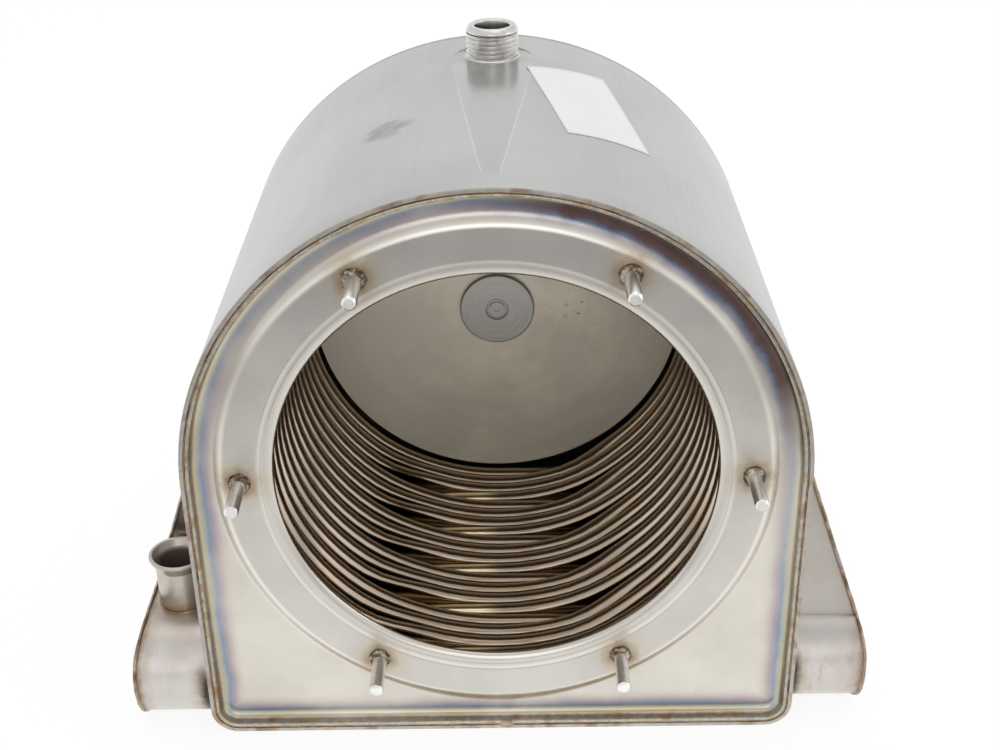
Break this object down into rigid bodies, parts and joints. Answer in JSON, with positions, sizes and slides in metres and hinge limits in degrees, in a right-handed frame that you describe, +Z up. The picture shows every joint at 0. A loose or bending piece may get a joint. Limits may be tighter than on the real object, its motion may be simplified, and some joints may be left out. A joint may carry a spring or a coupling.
{
  "type": "coiled tube condensing boiler heat exchanger module",
  "caption": "Arched stainless sheet shell round coils of flattened tube, open in front for a burner, with a welded water header on each side and a threaded nozzle on top.",
  "frame": {"origin": "on the flat underside, below the middle of the shell", "axes": "+X to the right as seen from the burner opening, +Y from the burner opening to the back, +Z up"},
  "size_m": [0.28, 0.203, 0.2313],
  "materials": {
    "shell_steel": "satin",
    "plate_steel": "satin",
    "weld_steel": "satin",
    "disc_steel": "satin",
    "plug_steel": "satin",
    "nozzle_steel": "satin",
    "header_steel": "satin",
    "stud_steel": "satin",
    "coil_steel": "satin"
  },
  "bodies": {
    "root": {"shell_wrap": "shell_steel", "front_plate": "plate_steel", "back_plate": "plate_steel", "front_seam": "weld_steel", "back_seam": "weld_steel", "rear_disc": "disc_steel", "disc_post": "disc_steel", "disc_plug": "plug_steel", "plug_screw": "plug_steel", "top_nozzle": "nozzle_steel", "left_pipe": "nozzle_steel", "right_pipe": "nozzle_steel", "flue_outlet": "nozzle_steel", "drain_outlet": "nozzle_steel", "left_header_front": "header_steel", "left_header_back": "header_steel", "left_header_cover": "header_steel", "right_header_front": "header_steel", "right_header_back": "header_steel", "right_header_cover": "header_steel", "stud_1": "stud_steel", "stud_2": "stud_steel", "stud_3": "stud_steel", "stud_4": "stud_steel", "stud_5": "stud_steel", "stud_6": "stud_steel", "coil_1": "coil_steel", "coil_2": "coil_steel", "coil_3": "coil_steel", "coil_4": "coil_steel", "coil_5": "coil_steel"}
  },
  "joints": []
}
